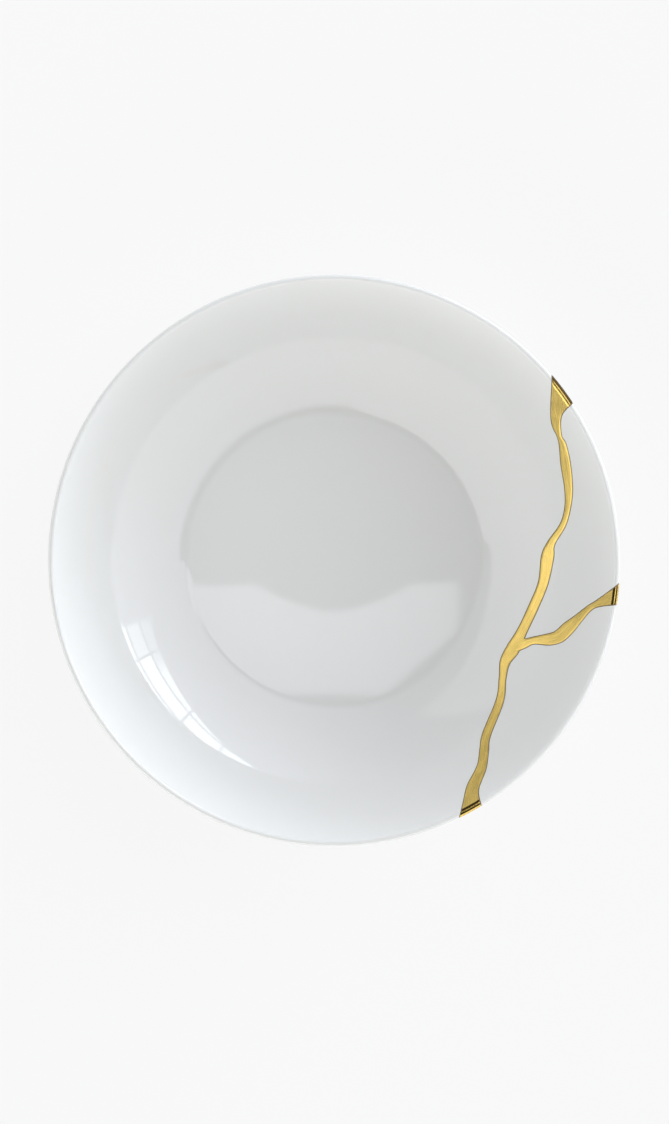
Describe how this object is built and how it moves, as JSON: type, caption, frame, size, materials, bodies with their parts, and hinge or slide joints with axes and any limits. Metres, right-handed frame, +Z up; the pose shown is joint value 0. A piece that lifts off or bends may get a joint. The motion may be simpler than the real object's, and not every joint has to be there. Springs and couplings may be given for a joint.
{
  "type": "kintsugi bowl",
  "caption": "Round shallow porcelain bowl on a foot ring, broken at the rim and joined again by a branching gold seam.",
  "frame": {"origin": "centre of the foot ring, on the surface that the bowl stands on", "axes": "+Z up through the middle of the bowl, +X towards the cap of gold at the side of the rim, +Y towards the rim that is at the top of the picture"},
  "size_m": [0.19, 0.19, 0.0485],
  "materials": {
    "porcelain": "glossy white glaze",
    "gold": "satin gold powder on lacquer, with brown lacquer at its edges"
  },
  "bodies": {
    "root": {"bowl_body": "porcelain", "upper_rim_shard": "porcelain", "lower_rim_shard": "porcelain", "gold_seam": "gold"}
  },
  "joints": []
}
